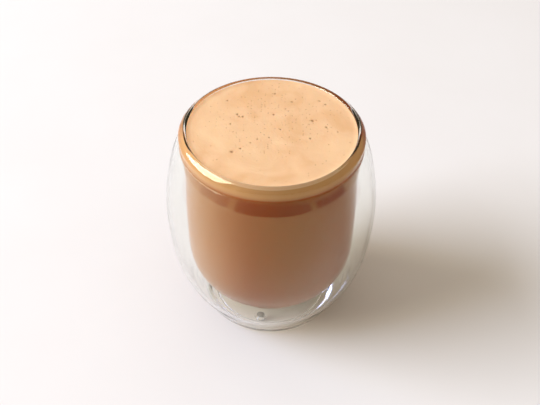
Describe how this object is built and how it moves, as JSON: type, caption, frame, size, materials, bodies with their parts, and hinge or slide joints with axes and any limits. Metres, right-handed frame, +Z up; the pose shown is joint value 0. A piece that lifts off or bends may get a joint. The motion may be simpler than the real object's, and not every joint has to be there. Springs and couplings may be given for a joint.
{
  "type": "hot caramel drink",
  "caption": "Milky caramel coffee under a smooth tan foam, in a clear double-walled glass with a rounded rim, a bulging outer shell and a small flat foot.",
  "frame": {"origin": "on the glass's axis, at the level of the table under the foot", "axes": "+Z up along the axis, -Y towards the side that the vent plug is nearest to"},
  "size_m": [0.0948, 0.0948, 0.0995],
  "materials": {
    "glass": "clear blown borosilicate, fire-polished",
    "vent_plug": "soft matt silicone",
    "drink": "milky coffee, opaque, wet against the glass",
    "foam": "fine wet foam with scattered pinhole bubbles"
  },
  "bodies": {
    "root": {"glass": "glass", "vent_plug": "vent_plug", "drink": "drink", "foam": "foam"}
  },
  "joints": []
}
